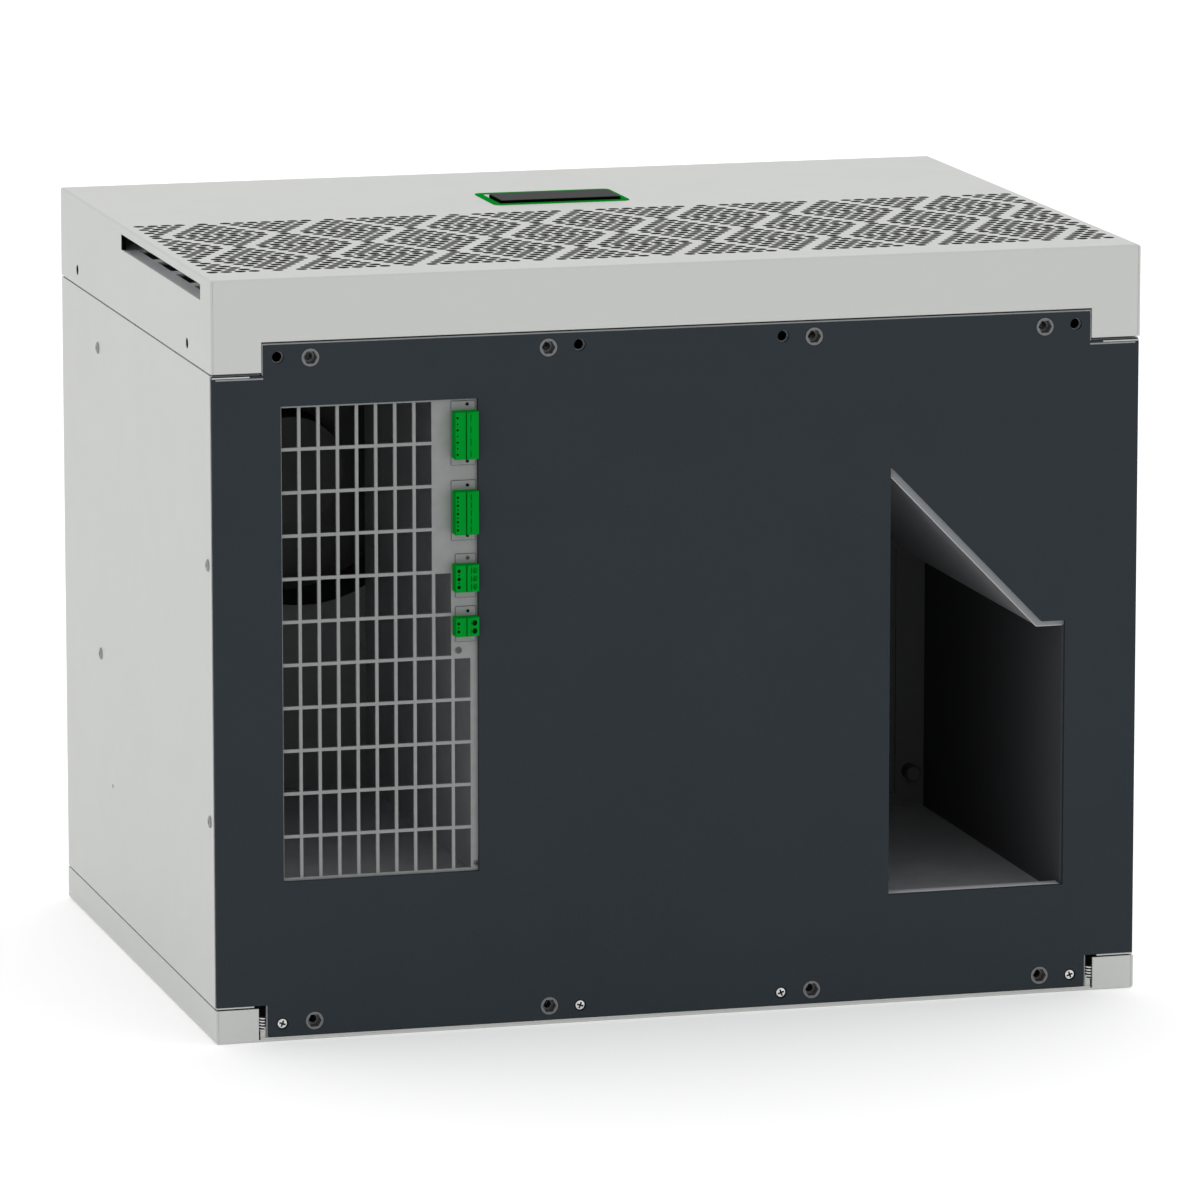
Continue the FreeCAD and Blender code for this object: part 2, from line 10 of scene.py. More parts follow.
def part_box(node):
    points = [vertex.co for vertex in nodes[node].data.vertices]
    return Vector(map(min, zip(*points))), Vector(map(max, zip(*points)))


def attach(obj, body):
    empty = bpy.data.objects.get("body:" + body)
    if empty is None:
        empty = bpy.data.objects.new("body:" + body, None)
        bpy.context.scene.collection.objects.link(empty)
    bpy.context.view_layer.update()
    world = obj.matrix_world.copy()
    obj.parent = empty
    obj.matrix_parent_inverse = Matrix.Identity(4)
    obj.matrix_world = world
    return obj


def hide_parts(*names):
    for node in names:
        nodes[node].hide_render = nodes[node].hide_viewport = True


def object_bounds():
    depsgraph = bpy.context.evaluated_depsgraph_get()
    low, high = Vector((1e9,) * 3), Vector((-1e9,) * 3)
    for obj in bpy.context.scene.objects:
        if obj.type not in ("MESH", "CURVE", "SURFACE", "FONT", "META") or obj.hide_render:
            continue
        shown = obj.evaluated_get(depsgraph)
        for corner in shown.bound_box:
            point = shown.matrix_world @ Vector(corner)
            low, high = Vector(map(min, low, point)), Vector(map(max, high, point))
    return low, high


bl_info = {
    "name": "Roof Cooling Unit",
    "version": (1, 0, 0),
    "blender": (4, 5, 0),
    "location": "3D View > Sidebar > Cooling Unit",
    "description": "Builds the finishes, grille, terminals and fixings of a roof cooling unit",
    "category": "Object",
}


def mm(value):
    return value / 1000


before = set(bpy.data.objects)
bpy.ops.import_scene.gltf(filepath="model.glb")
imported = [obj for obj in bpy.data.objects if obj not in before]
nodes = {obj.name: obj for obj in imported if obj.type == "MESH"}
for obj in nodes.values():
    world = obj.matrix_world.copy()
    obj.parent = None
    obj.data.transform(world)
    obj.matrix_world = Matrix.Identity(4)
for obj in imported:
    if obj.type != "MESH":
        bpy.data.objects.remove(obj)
cad_low, cad_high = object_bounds()
face_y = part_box("roof_gasket")[0].y
plate_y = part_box("base_plate")[0].y
terminal_plate_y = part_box("terminal_plates")[0].y
half_width = cad_high.x
outward = (0, -1, 0)
full_turn = 2 * math.pi
tiny = 1e-6

# Where small things stand. A width is measured from the middle of the unit, a depth from the gasket's face,
# and a height from the ground.
tab_screw_widths = (mm(65.4), mm(256.4))
tab_screw_height = mm(11)
clearance_hole_height = mm(428.2)
corner_screw_width = mm(269.2)
corner_screw_depth = mm(2.6)
corner_screw_top = mm(17)
corner_nut_top = mm(22.9)
corner_nut_widths = (mm(266.9), mm(274.2))
rivet_places = ((mm(330), mm(387)), (mm(330), mm(186)), (mm(11.7), mm(299.3)), (mm(11.7), mm(138.7)))
cover_screw_places = ((mm(65.7), mm(429.2)), (mm(392.3), mm(429.2)))
vent_back = mm(255.25)
vent_heights = (mm(461.3), mm(471.2))
outlet_corners = ((mm(135.6), mm(337.6)), (mm(233.0), mm(236.85)), (mm(249.9), mm(236.85)))
outlet_bottom = mm(69.9)
outlet_lip_back = mm(11.2)
tab_side = mm(265.75)
tab_top = mm(436.95)
lower_tab_side = mm(270.3)
gasket_end_widths = (mm(274.3), mm(297.9))
seam_widths = (mm(296.76), mm(297.24))
seam_heights = ((mm(1.7), mm(21.0)), (mm(419.4), mm(475.3)))

# The plates behind the terminals: their sides, how far they reach past the blocks, and their outline
plate_sides = ((mm(-146.7), mm(-131.7)), (mm(-146.7), mm(-131.7)), (mm(-144.3), mm(-131.7)),
               (mm(-144.3), mm(-131.7)))
plate_overhang = mm(5.1)
plate_lift = mm(0.6)
plate_line = mm(0.25)

# Place (width, height) and radius of the small screws beside the terminals
black_screws = ((-136.6, 394.1, 1.05), (-136.6, 358.5, 1.05), (-136.6, 343.6, 1.05), (-136.6, 312.0, 1.05),
                (-136.6, 264.7, 1.05))
grey_screws = ((-136.6, 298.1, 1.3), (-142.5, 240.0, 2.0), (-131.6, 105.1, 1.6))

# Poles, their pitch, entry radius and inset, dash length, screw well radius and inset, and screw radius
terminal_kinds = ((4, 7.62, 0.75, 1.3, 3.8, 0, 0, 0),
                  (5, 5.08, 0.80, 1.3, 3.7, 0, 0, 0),
                  (3, 5.08, 1.15, 1.9, 3.7, 1.60, 2.7, 1.25),
                  (2, 5.08, 1.00, 1.6, 1.2, 1.80, 3.1, 0))


def length(name, text, default):
    return FloatProperty(name=name, description=text, default=default, min=0.0, subtype="DISTANCE",
                         unit="LENGTH", precision=5)


def colour(name, text, default):
    return FloatVectorProperty(name=name, description=text, default=default, min=0.0, max=1.0, size=3,
                               subtype="COLOR")


def level(name, text, default):
    return FloatProperty(name=name, description=text, default=default)


class CasingSettings(bpy.types.PropertyGroup):
    paint: colour("Paint", "Powder coat on the covers and panels", (0.515, 0.525, 0.508))
    foam: colour("Gasket foam", "Closed-cell foam on the roof face", (0.023, 0.030, 0.036))
    plate: colour("Base plate", "Grey coat on the base plate", (0.225, 0.231, 0.238))
    # Partly painted highlight: the outlet's bare edges take this lighter grey where they catch the light.
    outlet_highlight: colour("Bare lips", "Bare zinc on the outlet's edges", (0.460, 0.465, 0.480))
    zinc: colour("Zinc sheet", "Galvanised sheet of the deck, rails and floors", (0.430, 0.440, 0.455))
    roof: colour("Duct roof", "Duller sheet of the duct's roof", (0.330, 0.338, 0.350))
    fan: colour("Fan sheet", "Dark sheet round the fan", (0.150, 0.153, 0.158))
    # The duct's side walls and far end are coloured darker than its floor and roof.
    duct_wall_tone: colour("Duct lining", "Dark lining on the duct's walls", (0.055, 0.057, 0.061))
    end: colour("Duct end", "Lining at the duct's far end", (0.095, 0.097, 0.102))
    plug: colour("Drain plug", "Dark plug at the duct's far end", (0.060, 0.061, 0.063))
    # Painted light: the fan housing's left side is painted lit grey and its right side painted shade, nearly
    # black.
    lit: colour("Fan, near side", "Dusty grey of the fan housing's left side", (0.500, 0.500, 0.500))
    fan_painted_shade: colour("Fan, far side", "Black of the fan housing's right side", (0.002, 0.002, 0.002))
    # Painted shade: this black colours the cups and strips set in holes and at the vents' ends, the small
    # screws' recesses and, in part, the corner nuts.
    black: colour("Black parts", "Black pads, sleeves and nuts", (0.003, 0.003, 0.003))
    peel: length("Peel depth", "Depth of the powder coat's texture", mm(0.05))


class GrilleSettings(bpy.types.PropertyGroup):
    hole: length("Hole diameter", "Diameter of each round hole", mm(7.3))
    pitch: length("Hole pitch", "Distance between neighbouring holes in a row", mm(8.8))
    row: length("Row step", "Distance between rows", mm(7.75))
    front: length("Front margin", "From the field's front edge to the first row", mm(3.9))
    band: length("Band step", "Distance between the bands' first rows", mm(54.5))
    group: length("Group step", "Distance between the triangles' middles", mm(41.3))
    reach: length("Side margin", "Least sheet between a hole and the field's sides", mm(0.05))
    bands: IntProperty(name="Bands", description="Bands of triangular hole groups", default=4, min=1)
    rows: IntProperty(name="Rows", description="Rows of holes in each band", default=7, min=2)
    sides: IntProperty(name="Hole sides", description="Flat sides of each round hole", default=14, min=8)
    # The drilled edges are real; their near-black colour is painted shade inside the holes.
    cut: colour("Cut edge", "Colour of the drilled edges", (0.030, 0.031, 0.032))


class TerminalSettings(bpy.types.PropertyGroup):
    plastic: colour("Plastic", "Green of the terminal blocks", (0.001, 0.245, 0.022))
    # Painted shade: this near-black colours the blocks' fronts behind the openings, the openings' walls and
    # the screw recesses.
    dark: colour("Openings", "Dark inside of the entries and slots", (0.001, 0.016, 0.003))
    skin: length("Front thickness", "Thickness of the pierced front", mm(1.2))
    groove: length("Groove width", "Width of the grooves beside the ridge", mm(0.5))
    ridge: length("Ridge width", "Width of the ridge", mm(2.3))
    offset: length("Ridge offset", "How far the ridge stands right of the middle", mm(0.7))
    rise: length("Ridge height", "How far the ridge stands proud", mm(0.5))
    slope: length("Slope depth", "How far the screw side falls back", mm(1.6))
    mark: length("Mark radius", "Radius of the small marks between the entries", mm(0.5))
    chamfer: length("Edge bevel", "Bevel on the blocks' outer edges", mm(0.25))


class FixingSettings(bpy.types.PropertyGroup):
    steel: colour("Steel", "Zinc-plated steel of the screws", (0.720, 0.725, 0.730))
    insert: colour("Inserts", "Dull steel of the threaded inserts", (0.150, 0.152, 0.157))
    rivet: colour("Rivets", "Painted rivets of the side panels", (0.240, 0.245, 0.250))
    rivet_radius: length("Rivet radius", "Radius of the side panels' rivet heads", mm(4))
    rivet_height: length("Rivet height", "Height of the rivet heads", mm(1.3))
    screw_radius: length("Screw head radius", "Radius of the lower tab's screw heads", mm(3.45))
    screw_height: length("Screw head height", "Height of the lower tab's screw heads", mm(2.6))
    rod_radius: length("Corner screw radius", "Outer radius of the corner screws' thread", mm(2.4))
    thread: length("Thread pitch", "Pitch of the corner screws' thread", mm(1.85))
    turns: IntProperty(name="Turns", description="Turns of the corner screws' thread", default=5, min=1)


class DisplaySettings(bpy.types.PropertyGroup):
    ring: colour("Ring", "Green of the display's frame", (0.001, 0.250, 0.018))
    top: colour("Head", "Dark grey top of the controller", (0.076, 0.076, 0.077))
    body: colour("Sides", "Black sides of the controller", (0.003, 0.003, 0.003))
    recess: colour("Recess", "Pale plastic of the recess", (0.850, 0.860, 0.850))


class StudioSettings(bpy.types.PropertyGroup):
    floor: colour("Floor", "Pale studio floor", (0.960, 0.960, 0.960))
    sky: level("Sky", "Strength of the soft light from all round", 1.0)
    glow: level("Glow", "Light that the pale floor gives of itself", 0.20)
    turn: level("Turn", "How much softer the light is in front than behind", 0.20)
    lean: level("Lean", "How much stronger the light is on the right", 0.17)
    key: FloatProperty(name="Key", description="Power of the large soft light overhead", default=4.0, min=0.0,
                       subtype="POWER", unit="POWER")
    fill: FloatProperty(name="Fill", description="Power of the soft light from the left", default=0.8,
                        min=0.0, subtype="POWER", unit="POWER")
    lens: FloatProperty(name="Lens", description="Focal length of the camera", default=259.3, min=1.0,
                        subtype="DISTANCE_CAMERA", unit="CAMERA")


class UnitSettings(bpy.types.PropertyGroup):
    casing: PointerProperty(type=CasingSettings)
    grille: PointerProperty(type=GrilleSettings)
    terminals: PointerProperty(type=TerminalSettings)
    fixings: PointerProperty(type=FixingSettings)
    display: PointerProperty(type=DisplaySettings)
    studio: PointerProperty(type=StudioSettings)


def feed(tree, entry, value):
    """Links a varying value to a node's entry, or sets a plain number or colour on it."""
    if isinstance(value, Flow):
        tree.links.new(value.socket, entry)
    elif hasattr(value, "__len__") and len(value) == 3 and entry.type == "RGBA":
        entry.default_value = (*value, 1.0)
    else:
        entry.default_value = value


class Flow:
    """A value that varies over a surface, written into sums as a number would be."""

    def __init__(self, tree, socket):
        self.tree = tree
        self.socket = socket

    def work_out(self, operation, first, second):
        node = self.tree.nodes.new("ShaderNodeMath")
        node.operation = operation
        feed(self.tree, node.inputs[0], first)
        feed(self.tree, node.inputs[1], second)
        return Flow(self.tree, node.outputs[0])

    def __add__(self, other):
        return self.work_out("ADD", self, other)

    def __sub__(self, other):
        return self.work_out("SUBTRACT", self, other)

    def __rsub__(self, other):
        return self.work_out("SUBTRACT", other, self)

    def __mul__(self, other):
        return self.work_out("MULTIPLY", self, other)

    def __gt__(self, other):
        return self.work_out("GREATER_THAN", self, other)

    __radd__ = __add__
    __rmul__ = __mul__


class Finish:
    """A surface finish: its material and the nodes that vary it."""

    def __init__(self, name, same):
        self.material = bpy.data.materials.new(name)
        self.material.use_nodes = True
        self.tree = self.material.node_tree
        self.shader = self.tree.nodes["Principled BSDF"]
        self.place = self.node("ShaderNodeTexCoord", output="Object")
        for entry, value in same.items():
            feed(self.tree, self.shader.inputs[entry], value)

    def node(self, kind, settings=None, values=None, output=0):
        made = self.tree.nodes.new(kind)
        for key, value in (settings or {}).items():
            setattr(made, key, value)
        for key, value in (values or {}).items():
            feed(self.tree, made.inputs[key], value)
        return Flow(self.tree, made.outputs[output])

    def noise(self, scale, detail=2.0, stretch=None):
        place = self.place
        if stretch:
            place = self.node("ShaderNodeMapping", None, {"Vector": place, "Scale": stretch})
        return self.node("ShaderNodeTexNoise", None, {"Vector": place, "Scale": scale, "Detail": detail})

    def cells(self, scale, output="Distance"):
        return self.node("ShaderNodeTexVoronoi", None, {"Vector": self.place, "Scale": scale}, output)

    def along(self, axis):
        return self.node("ShaderNodeSeparateXYZ", None, {"Vector": self.place}, axis)

    def fade(self, axis, start, end):
        """Nought before a place along an axis, one after another, and even between them."""
        limits = {"Value": self.along(axis), "From Min": start, "From Max": end}
        return self.node("ShaderNodeMapRange", None, limits)

    def mix(self, share, first, second):
        return self.node("ShaderNodeMix", {"data_type": "RGBA"}, {0: share, 6: first, 7: second}, 2)

    def shades(self, base, share, low=0.94, high=1.06):
        """Between a darker and a lighter shade of one colour."""
        return self.mix(share, *[tuple(min(1.0, channel * step) for channel in base) for step in (low, high)])

    def set(self, entry, value):
        feed(self.tree, self.shader.inputs[entry], value)

    def bump(self, height, distance, strength=1.0):
        self.set("Normal", self.node("ShaderNodeBump", None,
                                     {"Height": height, "Distance": distance, "Strength": strength}))


def powder_coat(name, base, peel):
    finish = Finish(name, {"IOR": 1.45})
    finish.set("Base Color", finish.shades(base, finish.noise(5.0, 4.0), 0.985, 1.015))
    finish.set("Roughness", finish.noise(45.0) * 0.10 + 0.44)
    finish.bump(finish.noise(1100.0) + finish.noise(420.0) * 0.5, peel, 0.35)
    return finish.material


def foam(name, base):
    finish = Finish(name, {"Specular IOR Level": 0.18})
    grain = finish.noise(7.0, 4.0) * 0.6 + finish.noise(900.0) * 0.4
    finish.set("Base Color", finish.shades(base, grain, 0.90, 1.10))
    finish.set("Roughness", finish.noise(30.0) * 0.12 + 0.80)
    finish.bump(finish.cells(1500.0), mm(0.12), 0.4)
    return finish.material


def zinc_sheet(name, base, metal=0.35):
    finish = Finish(name, {"Metallic": metal})
    spangle = finish.cells(120.0, "Color")
    grain = spangle * 0.6 + finish.noise(14.0, 4.0) * 0.4
    finish.set("Base Color", finish.shades(base, grain, 0.86, 1.12))
    finish.set("Roughness", spangle * 0.14 + 0.42)
    finish.bump(finish.noise(260.0, 3.0, (1.0, 0.15, 1.0)), mm(0.03), 0.4)
    return finish.material


def dull_steel(name, base, metal=0.55):
    finish = Finish(name, {"Metallic": metal})
    finish.set("Base Color", finish.shades(base, finish.noise(180.0, 3.0), 0.88, 1.10))
    finish.set("Roughness", finish.noise(500.0) * 0.18 + 0.34)
    finish.bump(finish.noise(1500.0, 2.0), mm(0.03), 0.4)
    return finish.material


def bright_steel(name, base):
    finish = Finish(name, {"Metallic": 1.0})
    finish.set("Base Color", finish.shades(base, finish.noise(240.0, 3.0), 0.90, 1.10))
    finish.set("Roughness", finish.noise(700.0) * 0.10 + 0.12)
    finish.bump(finish.noise(1800.0, 2.0), mm(0.02), 0.3)
    return finish.material


def moulded(name, base, rough=0.42, grain=0.3, shine=0.5):
    finish = Finish(name, {"Specular IOR Level": shine})
    finish.set("Base Color", finish.shades(base, finish.noise(60.0, 3.0), 0.92, 1.08))
    finish.set("Roughness", finish.noise(200.0) * 0.08 + rough)
    finish.bump(finish.noise(2200.0, 2.0), mm(0.03), grain)
    return finish.material


def fan_housing(name, casing):
    """Dark plastic with painted light: lit grey on the left, fading into painted shade on the right."""
    finish = Finish(name, {"Specular IOR Level": 1.0})
    low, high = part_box("evaporator_fan")
    lit_share = 0.4
    # The lit share on the left fades into painted shade on the right.
    share = finish.fade("X", low.x, low.x + (high.x - low.x) * lit_share)
    finish.set("Base Color", finish.mix(share + finish.noise(40.0) * 0.06, casing.lit, casing.fan_painted_shade))
    finish.set("Roughness", finish.noise(90.0) * 0.10 + 0.45)
    finish.bump(finish.noise(900.0), mm(0.04), 0.3)
    return finish.material


def controller_plastic(name, display, top):
    """Black plastic whose flat top is dark grey."""
    finish = Finish(name, {"Specular IOR Level": 0.0})
    grey_top_depth = mm(0.4)
    grey_top = finish.along("Z") > top - grey_top_depth
    grain = finish.noise(60.0, 3.0)
    finish.set("Base Color", finish.mix(grey_top, finish.shades(display.body, grain),
                                        finish.shades(display.top, grain)))
    finish.set("Roughness", grey_top * -0.10 + 0.62 + grain * 0.06)
    finish.bump(finish.noise(2200.0, 2.0), mm(0.02), 0.05)
    return finish.material


def shade(bm, angle=math.radians(32)):
    """Smooth faces with crisp edges where they meet at more than the angle."""
    for face in bm.faces:
        face.smooth = True
    for edge in bm.edges:
        edge.smooth = len(edge.link_faces) == 2 and edge.calc_face_angle() < angle


def add(bm, part, place):
    """Puts a finished part into a piece's mesh."""
    bmesh.ops.remove_doubles(part, verts=part.verts, dist=1e-7)
    bmesh.ops.transform(part, matrix=place, verts=part.verts)
    bmesh.ops.recalc_face_normals(part, faces=part.faces)
    mesh = bpy.data.meshes.new("part")
    part.to_mesh(mesh)
    part.free()
    bm.from_mesh(mesh)
    bpy.data.meshes.remove(mesh)


def piece(name, bm, materials, slot, *replaced):
    """Makes the finished mesh an object that rides on the unit, in place of any CAD nodes named last."""
    shade(bm)
    mesh = bpy.data.meshes.new(name)
    bm.to_mesh(mesh)
    bm.free()
    for material in materials:
        mesh.materials.append(material)
    made = bpy.data.objects.new(name, mesh)
    bpy.context.scene.collection.objects.link(made)
    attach(made, "root")
    if replaced:
        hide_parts(*replaced)


def dress(material, *names):
    """Gives CAD nodes a finish."""
    for name in names:
        if name not in nodes:
            raise RuntimeError(f"there is no node named {name}")
        data = nodes[name].data
        if not data.materials:
            data.materials.append(material)
        for slot in nodes[name].material_slots:
            slot.material = material


def facing(x, y, z, towards):
    """A placement at a point, with the part's own +Z turned towards a direction."""
    return Matrix.Translation((x, y, z)) @ Vector(towards).to_track_quat("Z", "Y").to_matrix().to_4x4()


def new_of(kind, made):
    return [item for item in made["geom"] if isinstance(item, kind)]


def lathe(profile, steps=28):
    """Turns (radius, height) points round Z."""
    part = bmesh.new()
    verts = [part.verts.new((radius, 0, height)) for radius, height in profile]
    edges = [part.edges.new(pair) for pair in zip(verts, verts[1:])]
    bmesh.ops.spin(part, geom=verts + edges, cent=(0, 0, 0), axis=(0, 0, 1), angle=full_turn, steps=steps,
                   use_merge=True)
    return part


def polygon(bm, corners):
    verts = [bm.verts.new(corner) for corner in corners]
    return [bm.edges.new(pair) for pair in zip(verts, verts[1:] + verts[:1])]


def rectangle(x0, x1, y0, y1):
    return [(x0, y0), (x1, y0), (x1, y1), (x0, y1)]


def block(bm, low, high, edge):
    """A rectangular block with bevelled edges."""
    part = bmesh.new()
    bmesh.ops.create_cube(part, size=1.0)
    size = [b - a for a, b in zip(low, high)]
    bmesh.ops.scale(part, vec=size, verts=part.verts)
    bmesh.ops.bevel(part, geom=part.edges[:], offset=edge, segments=2, profile=0.5, affect="EDGES",
                    material=-1)
    add(bm, part, Matrix.Translation([(a + b) / 2 for a, b in zip(low, high)]))


def mirrored_block(bm, near_x, far_x, y0, y1, z0, z1, edge):
    """The same block on the left and on the right."""
    for side in (-1, 1):
        low, high = sorted((side * near_x, side * far_x))
        block(bm, (low, y0, z0), (high, y1, z1), edge)


def prism(corners, along):
    """A solid with a flat outline, pushed along a direction."""
    part = bmesh.new()
    bmesh.ops.contextual_create(part, geom=polygon(part, corners))
    pushed = bmesh.ops.extrude_face_region(part, geom=part.faces[:])
    bmesh.ops.translate(part, vec=along, verts=new_of(bmesh.types.BMVert, pushed))
    bmesh.ops.recalc_face_normals(part, faces=part.faces)
    return part


def fill(part):
    """Fills closed outlines and leaves their holes open. It works at 1000 times the size, for fine gaps."""
    bmesh.ops.scale(part, vec=(1000, 1000, 1000), verts=part.verts)
    bmesh.ops.triangle_fill(part, use_beauty=True, edges=part.edges[:], normal=(0, 0, 1))
    bmesh.ops.scale(part, vec=(0.001, 0.001, 0.001), verts=part.verts)


def drilled_sheet(low, high, thickness, circles, slots=(), sides=14):
    """A flat sheet with its top at z = 0. Circles are (x, y, radius), and the hole walls are material 1."""
    part = bmesh.new()
    for outline in (rectangle(low[0], high[0], low[1], high[1]), *slots):
        polygon(part, [(x, y, -thickness) for x, y in outline])
    for x, y, radius in circles:
        bmesh.ops.create_circle(part, segments=sides, radius=radius,
                                matrix=Matrix.Translation((x, y, -thickness)))
    fill(part)
    raised = bmesh.ops.extrude_face_region(part, geom=part.faces[:])
    bmesh.ops.translate(part, vec=(0, 0, thickness), verts=new_of(bmesh.types.BMVert, raised))
    bmesh.ops.recalc_face_normals(part, faces=part.faces)
    for face in part.faces:
        middle = face.calc_center_median()
        inside = all(low[axis] + tiny < middle[axis] < high[axis] - tiny for axis in (0, 1))
        face.material_index = int(abs(face.normal.z) < 0.5 and inside)
    return part


def along_side(edge, low, high):
    """Whether an edge lies on one side of a sheet's top."""
    if any(vert.co.z < -tiny for vert in edge.verts):
        return False
    return any(all(abs(vert.co[axis] - place) < tiny for vert in edge.verts)
               for axis in (0, 1) for place in (low[axis], high[axis]))


def extrude_ring(part, edges, size, height):
    """Extrudes a rim, and scales and moves the new one about the Z axis."""
    made = bmesh.ops.extrude_edge_only(part, edges=edges)
    verts = new_of(bmesh.types.BMVert, made)
    bmesh.ops.scale(part, vec=(size, size, 1.0), verts=verts)
    bmesh.ops.translate(part, vec=(0, 0, height - verts[0].co.z), verts=verts)
    return [e for e in new_of(bmesh.types.BMEdge, made) if len(e.link_faces) == 1]


def cross_head(radius, height, thickness, arm=0.50, web=0.13):
    """A pan head with a cross recess, its top at z = height. The recess is material 1."""
    part = bmesh.new()
    rim = radius * 0.62
    a, w = radius * arm, radius * web
    bmesh.ops.create_circle(part, segments=24, radius=rim)
    cross = [(a, w), (w, w), (w, a), (-w, a), (-w, w), (-a, w), (-a, -w), (-w, -w), (-w, -a), (w, -a),
             (w, -w), (a, -w)]
    inner = polygon(part, [(x, y, 0) for x, y in cross])
    bmesh.ops.triangle_fill(part, use_beauty=True, edges=part.edges[:], normal=(0, 0, 1))
    outer = [e for e in part.edges if len(e.link_faces) == 1 and e not in inner]
    flat = set(part.faces)
    floor = extrude_ring(part, inner, 0.72, -height * 0.8)
    bmesh.ops.holes_fill(part, edges=floor)
    for face in part.faces:
        face.material_index = int(face not in flat)
    reach = rim
    for share, drop in ((0.84, 0.12), (0.95, 0.38), (1.0, 0.75)):
        outer = extrude_ring(part, outer, radius * share / reach, -height * drop)
        reach = radius * share
    outer = extrude_ring(part, outer, 1.0, -thickness)
    bmesh.ops.holes_fill(part, edges=outer)
    bmesh.ops.translate(part, vec=(0, 0, height), verts=part.verts)
    return part


def threaded_rod(radius, pitch, turns, steps=16):
    """A threaded shank that points down from z = 0, with a tapered tip. The thread's root is material 1."""
    part = bmesh.new()
    core = radius * 0.74
    outline = ((core, 0), (radius, 0.15), (radius, 0.55), (core, 0.70), (core, 1.0))
    tooth = [part.verts.new((reach, 0, -share * pitch)) for reach, share in outline]
    edges = [part.edges.new(pair) for pair in zip(tooth, tooth[1:])]
    bmesh.ops.spin(part, geom=tooth + edges, cent=(0, 0, 0), axis=(0, 0, 1), dvec=(0, 0, -pitch / steps),
                   angle=full_turn * turns, steps=steps * turns, use_merge=False)
    bmesh.ops.remove_doubles(part, verts=part.verts, dist=radius * 0.01)
    for face in part.faces:
        face.material_index = int(face.calc_center_median().to_2d().length < (core + radius) / 2)
    low = min(v.co.z for v in part.verts)
    for vert in part.verts:
        share = min(1.0, (vert.co.z - low) / (1.2 * radius) + 0.35)
        vert.co.x *= share
        vert.co.y *= share
    bmesh.ops.holes_fill(part, edges=[e for e in part.edges if len(e.link_faces) == 1])
    return part


def studio_floor(studio):
    """A pale floor, a hair below the casing so that the two faces don't fight."""
    bm = bmesh.new()
    bmesh.ops.create_grid(bm, x_segments=8, y_segments=8, size=40.0)
    bmesh.ops.translate(bm, vec=(0, 0, -mm(0.1)), verts=bm.verts)
    mesh = bpy.data.meshes.new("studio_floor")
    bm.to_mesh(mesh)
    bm.free()
    finish = Finish("studio_floor", {"Specular IOR Level": 0.1, "Emission Color": (1.0, 1.0, 1.0),
                                     "Emission Strength": studio.glow})
    finish.set("Base Color", finish.shades(studio.floor, finish.noise(3.0), 0.995, 1.005))
    finish.set("Roughness", finish.noise(8.0) * 0.1 + 0.8)
    mesh.materials.append(finish.material)
    floor = bpy.data.objects.new("studio_floor", mesh)
    bpy.context.scene.collection.objects.link(floor)


def soft_sky(studio):
    """Light from all round, a little stronger from behind and from the right."""
    world = bpy.data.worlds.new("soft_studio")
    world.use_nodes = True
    tree = world.node_tree
    sky = tree.nodes["Background"]
    sky.inputs["Color"].default_value = (1.0, 1.0, 1.0, 1.0)
    direction = tree.nodes.new("ShaderNodeTexCoord")
    parts = tree.nodes.new("ShaderNodeSeparateXYZ")
    tree.links.new(direction.outputs["Generated"], parts.inputs[0])
    across = Flow(tree, parts.outputs["X"])
    along = Flow(tree, parts.outputs["Y"])
    feed(tree, sky.inputs["Strength"], along * studio.turn + across * studio.lean + studio.sky)
    bpy.context.scene.world = world


def soft_lamp(name, power, size, spot):
    lamp = bpy.data.lights.new(name, "AREA")
    lamp.energy = power
    lamp.size = size
    light = bpy.data.objects.new(name, lamp)
    light.location = spot
    centre = (cad_low + cad_high) / 2
    light.rotation_euler = (Vector(spot) - centre).to_track_quat("Z", "Y").to_euler()
    bpy.context.scene.collection.objects.link(light)


def photo_camera(lens):
    """The camera, at the photograph's place and angle."""
    data = bpy.data.cameras.new("camera")
    data.lens = lens
    data.sensor_width = 36.0
    camera = bpy.data.objects.new("camera", data)
    right = Vector((0.964496, -0.264097, -0.000345))
    up = Vector((0.048091, 0.174344, 0.983510))
    turn = Matrix((right, up, right.cross(up))).transposed().to_4x4()
    camera.matrix_world = Matrix.Translation((-1.44385, -5.29997, 1.23674)) @ turn
    bpy.context.scene.collection.objects.link(camera)
    bpy.context.scene.camera = camera


class UNIT_OT_studio(bpy.types.Operator):
    """Sets up the floor, the soft lights and the camera"""
    bl_idname = "cooling_unit.studio"
    bl_label = "Studio"

    def execute(self, context):
        studio = context.scene.cooling_unit.studio
        studio_floor(studio)
        soft_sky(studio)
        soft_lamp("key", studio.key, 3.0, (-0.6, -0.9, 3.2))
        soft_lamp("fill", studio.fill, 2.0, (-3.2, -1.2, 1.4))
        photo_camera(studio.lens)
        context.scene.view_settings.view_transform = "Standard"
        return {"FINISHED"}


class UNIT_OT_casing(bpy.types.Operator):
    """Coats the covers and panels"""
    bl_idname = "cooling_unit.casing"
    bl_label = "Casing finish"

    def execute(self, context):
        casing = context.scene.cooling_unit.casing
        coat = powder_coat("powder_coat", casing.paint, casing.peel)
        dress(coat, "grille_cover", "left_side_panel", "right_side_panel", "back_panel", "plain_cover")
        # Painted shade: black for the holes, recesses and vent ends, and in part the corner nuts.
        moulded("shade_black", casing.black, 0.6, shine=0.0)
        return {"FINISHED"}


